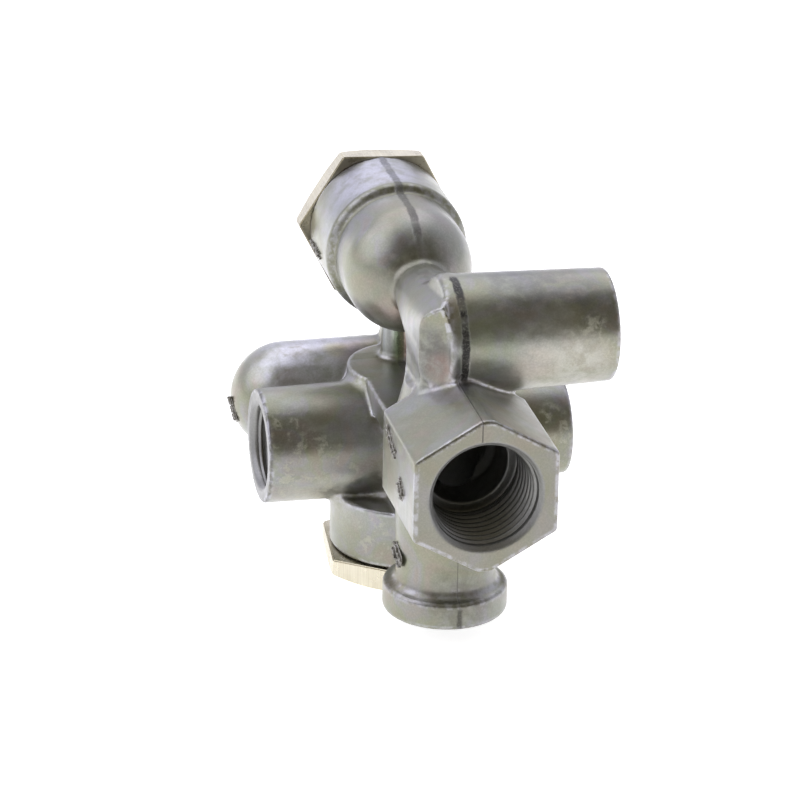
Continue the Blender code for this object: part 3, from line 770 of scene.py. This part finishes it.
def film_colour_and_painted_light(n):
    """The chromate film: olive and lavender-grey patches and the tints of its thickness, with painted light
    and shade: lit and shaded patches, a pale left and shaded right side on the up neck, and painted shade at
    the rear step and on the left port's rim.
    """
    patches = n.range(n.noise(0.07, 3, 0.5, distortion=0.6), 0.35, 0.68)
    colour = n.mix(patches, (0.245, 0.235, 0.165), (0.30, 0.295, 0.29))
    tint = n.ramp(n.noise(0.11, 2, 0.5, distortion=1.2), [
        (0.30, (0.34, 0.25, 0.22)), (0.42, (0.28, 0.275, 0.19)), (0.52, (0.23, 0.29, 0.18)),
        (0.62, (0.29, 0.29, 0.36)), (0.72, (0.35, 0.27, 0.28)),
    ])
    colour = n.mix(0.28, colour, tint)
    uneven = n.range(n.noise(0.35, 4, 0.6), 0.32, 0.62, 0.35, 1.0)
    # Each spot lays a film tint, painted light or painted shade over the colour.
    for centre, reach, shade, strength in FILM_TINTS_AND_PAINTED_LIGHT:
        colour = n.mix(n.times(n.spot(centre, reach), uneven, strength), colour, shade)
    # Painted light and shade on the up neck: pale on its left side, through green and pink film tints, to
    # painted shade on its right.
    neck = n.ramp(n.range(n.x, -3.5, 3.5), [
        (0.12, (0.44, 0.47, 0.47)), (0.35, (0.38, 0.52, 0.30)), (0.55, (0.50, 0.52, 0.22)),
        (0.75, (0.52, 0.33, 0.30)), (0.95, (0.24, 0.20, 0.17)),
    ])
    on_neck = n.times(n.stripe(n.x, 0, 4.5, 0.5), n.stripe(n.y, NECK_UP_Y, 4.2, 0.6),
                      n.stripe(n.z, 3.5, 4.2, 1.0))
    colour = n.mix(n.times(on_neck, 0.65), colour, neck)
    # Painted shade: a darker band round the step of the rear barrel.
    radial = n.vector("DISTANCE", n.vector("MULTIPLY", n.place, (1, 0, 1)), (0, 0, UPPER_Z))
    ring = n.times(n.stripe(n.y, REAR_STEP + 0.3, 1.6, 0.4), n.range(radial, 12.4, 13.4))
    colour = n.mix(n.times(ring, 0.8), colour, (0.15, 0.155, 0.09))
    # Painted shade: the left port's rim is darker.
    rim = n.times(n.range(n.x, LEFT_END + 0.9, LEFT_END + 0.3), n.range(n.y, 80.0, 79.0), 0.8)
    colour = n.mix(rim, colour, (0.10, 0.10, 0.095))
    front = n.range(n.y, 0.35, 0.1)
    return n.mix(n.times(front, 0.6), colour, (0.20, 0.19, 0.145))


def cast_material():
    """Die-cast metal with an olive chromate film: patchy tints, stains, rubbed edges and darker brown
    hollows, with painted light and shade: painted highlights along the edges, and painted shade deeper in
    the bores.
    """
    n = Nodes("cast_chromate", 0.34, 0.84, ORIGIN)
    n.shader.inputs["Coat Weight"].default_value = 0.5
    n.shader.inputs["Coat Roughness"].default_value = 0.3
    colour = film_colour_and_painted_light(n)
    blotched = 0.12
    for centre, reach in BLOTCHES:
        blotched = n.math("MAXIMUM", blotched, n.spot(centre, reach, 0.5))
    stains = n.times(n.range(n.noise(0.42, 7, 0.72), 0.51, 0.60), blotched)
    colour = n.mix(n.times(stains, 0.55), colour, (0.50, 0.49, 0.39))
    colour = n.mix(n.times(n.attribute("hollow"), 0.55), colour, (0.13, 0.115, 0.07))
    # Rubbed edges and painted highlights: convex edges paler and lavender, both as wear and as lit edges.
    rubbed_and_highlit = n.times(n.range(n.attribute("convex"), 0.3, 0.95), n.range(n.noise(0.6, 3), 0.38, 0.62))
    colour = n.mix(n.times(rubbed_and_highlit, 0.5), colour, (0.56, 0.56, 0.62))
    machined = n.attribute("machined")
    # Machined grey, painted darker deeper in the front and left bores as painted shade.
    machined_and_shaded = n.mix(bore_depth(n), (0.24, 0.24, 0.23), (0.17, 0.17, 0.165))
    colour = n.mix(n.times(machined, 0.85), colour, machined_and_shaded)
    flash = seam(n)
    colour = n.mix(flash, colour, (0.028, 0.026, 0.022))
    colour = n.mix(1.0, colour, n.range(n.noise(2.6, 2, 0.6), 0.35, 0.7, 0.92, 1.06), "MULTIPLY")
    rough = n.range(n.noise(0.42, 5, 0.6), 0.3, 0.7, 0.29, 0.42)
    rough = n.math("ADD", rough, n.times(stains, 0.15))
    rough = n.math("ADD", rough, n.times(flash, 0.25))
    rough = n.math("ADD", rough, n.times(machined, 0.12))
    n.bump(n.noise(1.5, 4, 0.65), 0.2, 0.00006)
    n.bump(n.noise(0.16, 3, 0.5), 0.3, 0.00018)
    n.bump(n.times(n.noise(1.9, 5, 0.8), flash), 0.7, 0.0003)
    return n.finish(colour, rough)


def mark_material():
    """The casting's film where it gathers dirt, on the raised marks."""
    n = Nodes("cast_marks", 0.5, 0.6, ORIGIN)
    colour = n.mix(n.range(n.noise(0.9, 4, 0.6), 0.35, 0.65), (0.16, 0.15, 0.125), (0.36, 0.35, 0.32))
    rough = n.range(n.noise(1.2, 3), 0.3, 0.7, 0.4, 0.65)
    n.bump(n.noise(3.0, 3), 0.4, 0.00008)
    return n.finish(colour, rough)


def brass_material(name, pale, brown, stretch, shaded_face_y=0):
    """Turned brass with fine tool lines, a thin tarnish and small dents. Its face at one y is painted
    darker, as painted shade where it meets the casting.
    """
    n = Nodes(name, 0.3, 1.0, ORIGIN)
    tarnish = n.range(n.noise(0.09, 5, 0.6), 0.35, 0.7)
    colour = n.mix(tarnish, pale, brown)
    lines = n.noise(5.2, 2, 0.5, stretch)
    colour = n.mix(n.range(lines, 0.3, 0.7, 0.0, 0.25), colour, (0.36, 0.30, 0.20))
    # Painted shade on the face that meets the casting.
    if shaded_face_y:
        face = n.range(n.y, shaded_face_y + 0.12, shaded_face_y + 0.02)
        colour = n.mix(n.times(face, 0.8), colour, (0.27, 0.25, 0.19))
    rough = n.range(n.noise(0.3, 4), 0.3, 0.7, 0.22, 0.4)
    n.bump(lines, 0.25, 0.00003)
    n.bump(n.noise(0.4, 4, 0.6), 0.15, 0.0001)
    return n.finish(colour, rough)


def rubber_material():
    n = Nodes("nitrile_rubber", 0.6, 0.0)
    colour = n.mix(n.range(n.noise(0.5, 5), 0.4, 0.7), (0.012, 0.012, 0.013), (0.045, 0.044, 0.042))
    rough = n.range(n.noise(0.26, 3), 0.35, 0.65, 0.32, 0.7)
    n.bump(n.noise(2.4, 3), 0.3, 0.00004)
    return n.finish(colour, rough)


def steel_material(name, bright, dark, stretch):
    n = Nodes(name, 0.3, 1.0)
    lines = n.noise(4.2, 3, 0.6, stretch)
    colour = n.mix(n.range(lines, 0.3, 0.75), bright, dark)
    colour = n.mix(n.range(n.noise(0.17, 3), 0.5, 0.75, 0.0, 0.4), colour, (0.42, 0.39, 0.30))
    rough = n.range(n.noise(0.35, 4), 0.3, 0.7, 0.2, 0.42)
    n.bump(lines, 0.3, 0.00003)
    return n.finish(colour, rough)


def acetal_material():
    n = Nodes("natural_acetal", 0.42, 0.0)
    colour = n.mix(n.range(n.noise(0.12, 4), 0.35, 0.7), (0.74, 0.72, 0.64), (0.64, 0.60, 0.50))
    rough = n.range(n.noise(0.8, 4), 0.3, 0.7, 0.34, 0.5)
    n.bump(n.noise(1.8, 2, 0.5, (1, 1, 12)), 0.2, 0.00004)
    return n.finish(colour, rough)


def give(ob, material):
    ob.data.materials.clear()
    ob.data.materials.append(material)


# ---------------------------------------------------------------- brass caps

CAP_THICK = 4.7
CAP_GAP = 0.3
REAR_CAP_R = 17.1
REAR_CAP_CLOCK = -2.7
LOWER_CAP_R = 19.2
LOWER_CAP_CLOCK = 23.9
SHANK_FLOOR = -3.4
# Each shank's (radius, height) points, from its foot inside the head round to the hollow's floor.
REAR_SHANK = [(11.2, 2.1), (11.9, 2.4), (11.9, 7.8), (8.9, 7.8), (8.9, -1.3), (0, -1.3)]
LOWER_SHANK = [(12.4, 2.2), (12.9, 2.5), (12.9, 6.8), (10.0, 6.8), (10.0, -0.7), (4.4, -0.7), (4.4, 2.8),
               (2.6, 2.8), (2.6, -2.4), (0, -2.4)]


def lathe(profile, sides=64, clock=0):
    """A solid turned from (radius, height) points, which start and end on Z."""
    bm = bmesh.new()
    loops = []
    for radius, height in profile:
        loop = []
        for i in range(sides if radius else 1):
            a = math.tau * i / sides + clock
            loop.append(bm.verts.new((radius * math.cos(a), radius * math.sin(a), height)))
        loops.append(loop)
    for low, high in zip(loops, loops[1:]):
        for i in range(sides):
            j = i + 1
            corners = (low[i % len(low)], low[j % len(low)], high[j % len(high)], high[i % len(high)])
            corners = list(dict.fromkeys(corners))
            if len(corners) > 2:
                bm.faces.new(corners)
    bmesh.ops.recalc_face_normals(bm, faces=bm.faces)
    return bm


def scene_object(name, bm):
    mesh = bpy.data.meshes.new(name)
    bm.to_mesh(mesh)
    bm.free()
    ob = bpy.data.objects.new(name, mesh)
    bpy.context.scene.collection.objects.link(ob)
    return ob


def hex_cap(name, cad_node, radius, clock, shank, turn, at):
    """A hexagonal head with its corners turned off, and a hollow shank. Its own Z runs into the body."""
    flat = radius * math.sqrt(3) / 2
    under = -CAP_THICK
    head = lathe([(0, under), (radius, under), (radius, 0), (0, 0)], 6, math.radians(clock))
    bmesh.ops.dissolve_limit(head, angle_limit=math.radians(5), verts=head.verts, edges=head.edges)
    bmesh.ops.bevel(head, geom=list(head.edges), offset=0.25, segments=2, affect="EDGES")
    corners = [(0, under - 1), (flat * 0.93, under - 1), (flat * 0.985, under - 0.01)]
    corners += [(radius * 1.02, under + 1.6), (radius * 1.02, 1), (0, 1)]
    dimple = [(0, under - 1), (flat * 0.5, under - 1), (flat * 0.45, under + 0.8), (0, under + 0.8)]
    recess_r = shank[0][0] - 0.9
    recess = [(0, SHANK_FLOOR + 0.5), (recess_r, SHANK_FLOOR + 0.5), (recess_r, 1), (0, 1)]
    steps = [
        ("INTERSECT", lathe(corners, 96)),
        ("DIFFERENCE", lathe(dimple)),
        ("DIFFERENCE", lathe(recess)),
        ("UNION", lathe([(0, SHANK_FLOOR), (shank[0][0], SHANK_FLOOR), *shank])),
    ]
    cap = scene_object(name, head)
    tools = []
    for operation, shape in steps:
        tool = scene_object("tool", shape)
        tools.append(tool)
        modifier = cap.modifiers.new(operation, "BOOLEAN")
        modifier.operation = operation
        modifier.solver = "EXACT"
        modifier.object = tool
    bpy.context.view_layer.update()
    mesh = bpy.data.meshes.new_from_object(cap.evaluated_get(bpy.context.evaluated_depsgraph_get()))
    cap.modifiers.clear()
    cap.data = mesh
    for tool in tools:
        bpy.data.objects.remove(tool)
    mesh.transform(Matrix.Translation(ORIGIN + Vector(at) * MM) @ turn @ Matrix.Scale(MM, 4))
    mesh.shade_smooth()
    mesh.set_sharp_from_angle(angle=math.radians(30))
    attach(cap, "valve")
    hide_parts(cad_node)
    return cap


# ---------------------------------------------------------------- stage

def area_light(name, place, aim, size, power, colour=(1, 1, 1)):
    light = bpy.data.lights.new(name, "AREA")
    light.shape = "DISK"
    light.size = size
    light.energy = power
    light.color = colour
    ob = bpy.data.objects.new(name, light)
    ob.location = place
    ob.rotation_euler = (Vector(aim) - Vector(place)).to_track_quat("-Z", "Y").to_euler()
    bpy.context.scene.collection.objects.link(ob)


def studio():
    mesh = bpy.data.meshes.new("floor")
    half = 6.0
    corners = [(-half, -half, 0), (half, -half, 0), (half, half, 0), (-half, half, 0)]
    mesh.from_pydata(corners, [], [(0, 1, 2, 3)])
    floor = bpy.data.objects.new("floor", mesh)
    bpy.context.scene.collection.objects.link(floor)
    n = Nodes("lit_floor", 0.7, 0.0)
    pale = n.mix(n.range(n.noise(0.003, 3), 0.3, 0.7), (0.85, 0.85, 0.85), (0.88, 0.88, 0.88))
    n.shader.inputs["Emission Color"].default_value = (1, 1, 1, 1)
    n.shader.inputs["Emission Strength"].default_value = 0.8
    give(floor, n.finish(pale))
    middle = (0, 0, 0.04)
    area_light("left_softbox", (-0.9, 0.2, 0.8), middle, 1.3, 6, (0.88, 0.88, 1))
    area_light("top_softbox", (0.1, 0.7, 1.2), middle, 1.6, 6, (0.95, 0.95, 1))
    tent()


def tent():
    """A white tent that is darker and warmer on the camera's side. The camera sees plain white."""
    world = bpy.data.worlds.new("tent")
    bpy.context.scene.world = world
    world.use_nodes = True
    tree = world.node_tree
    background = tree.nodes["Background"]
    place = tree.nodes.new("ShaderNodeTexCoord").outputs["Generated"]
    toward = tree.nodes.new("ShaderNodeVectorMath")
    toward.operation = "DOT_PRODUCT"
    toward.inputs[1].default_value = Vector((0.05, -0.76, 0.65)).normalized()
    tree.links.new(place, toward.inputs[0])
    ramp = tree.nodes.new("ShaderNodeValToRGB")
    elements = ramp.color_ramp.elements
    elements[0].position = 0.36
    elements[0].color = (0.88, 0.88, 1, 1)
    elements[1].position = 0.80
    elements[1].color = (0.19, 0.17, 0.12, 1)
    tree.links.new(toward.outputs["Value"], ramp.inputs["Fac"])
    plain = tree.nodes.new("ShaderNodeMix")
    plain.data_type = "RGBA"
    rays = tree.nodes.new("ShaderNodeLightPath")
    tree.links.new(rays.outputs["Is Camera Ray"], plain.inputs["Factor"])
    colours = [s for s in plain.inputs if s.type == "RGBA"]
    tree.links.new(ramp.outputs["Color"], colours[0])
    colours[1].default_value = (1, 1, 1, 1)
    tree.links.new(next(s for s in plain.outputs if s.type == "RGBA"), background.inputs["Color"])


def camera():
    """A long lens above and to the left of the front port."""
    turn, down, roll = math.radians(13.69), math.radians(23.134), math.radians(1.1)
    distance = 0.84032
    ahead = Vector((math.sin(turn) * math.cos(down), math.cos(turn) * math.cos(down), -math.sin(down)))
    level = Vector((math.cos(turn), -math.sin(turn), 0))
    rise = level.cross(ahead)
    right = math.cos(roll) * level + math.sin(roll) * rise
    up = math.cos(roll) * rise - math.sin(roll) * level
    place = ORIGIN - (0.01658 * right - 0.01866 * up + distance * ahead)
    data = bpy.data.cameras.new("camera")
    data.lens = 198
    data.sensor_width = 36
    data.clip_end = 100
    ob = bpy.data.objects.new("camera", data)
    ob.matrix_world = Matrix.Translation(place) @ Matrix((right, up, -ahead)).transposed().to_4x4()
    bpy.context.scene.collection.objects.link(ob)
    bpy.context.scene.camera = ob


# ---------------------------------------------------------------- scene

body = build_casting()
give(body, cast_material())
give(build_marks(), mark_material())

PALE, DULL = (0.78, 0.74, 0.60), (0.66, 0.61, 0.47)
BRASS = brass_material("brass", PALE, DULL, (1, 1, 0.02))
INNER_BRASS = brass_material("inner_brass", (0.70, 0.57, 0.33), (0.58, 0.46, 0.26), (1, 0.05, 1))
RUBBER = rubber_material()
STEEL = steel_material("zinc_steel", (0.62, 0.63, 0.65), (0.44, 0.45, 0.47), (1, 0.05, 1))
WIRE = steel_material("spring_wire", (0.50, 0.51, 0.53), (0.34, 0.35, 0.37), (1, 1, 0.1))
ACETAL = acetal_material()
FINISH = {
    "cast_body": body.data.materials[0],
    "brass": BRASS,
    "brass_inner": INNER_BRASS,
    "rubber": RUBBER,
    "steel": STEEL,
    "spring_steel": WIRE,
    "acetal": ACETAL,
}
for part in frame["record"]["subparts"]:
    give(frame["nodes"][part["node"]], FINISH[part["material_slot"]])

rear_y = REAR_END + CAP_GAP
upright_to_back = Matrix.Rotation(math.radians(90), 4, "X")
rear = hex_cap("rear_cap_head", "rear_cap", REAR_CAP_R, REAR_CAP_CLOCK, REAR_SHANK, upright_to_back,
               (0, rear_y, UPPER_Z))
give(rear, brass_material("rear_brass", PALE, DULL, (1, 0.02, 1), rear_y))
lower = hex_cap("lower_cap_head", "lower_cap", LOWER_CAP_R, LOWER_CAP_CLOCK, LOWER_SHANK, Matrix.Identity(4),
                (0, LOWER_Y, LOWER_END - CAP_GAP))
give(lower, BRASS)

# Each spring's name, radius, wire, start, length, turns, axis and centre.
springs = [
    build_spring("piston_spring", 6.7, 1.3, 80.3, 13.4, 7, 1, (0, UPPER_Z)),
    build_spring("poppet_spring", 6.0, 0.8, -37.3, 5.8, 4, 2, (0, LOWER_Y)),
    build_spring("check_spring", 4.9, 0.7, 6.3, 4.3, 3, 0, (COLUMN_Y, UPPER_Z)),
]
for spring in springs:
    give(spring, WIRE)

studio()
camera()
bpy.context.scene.view_settings.view_transform = "Standard"
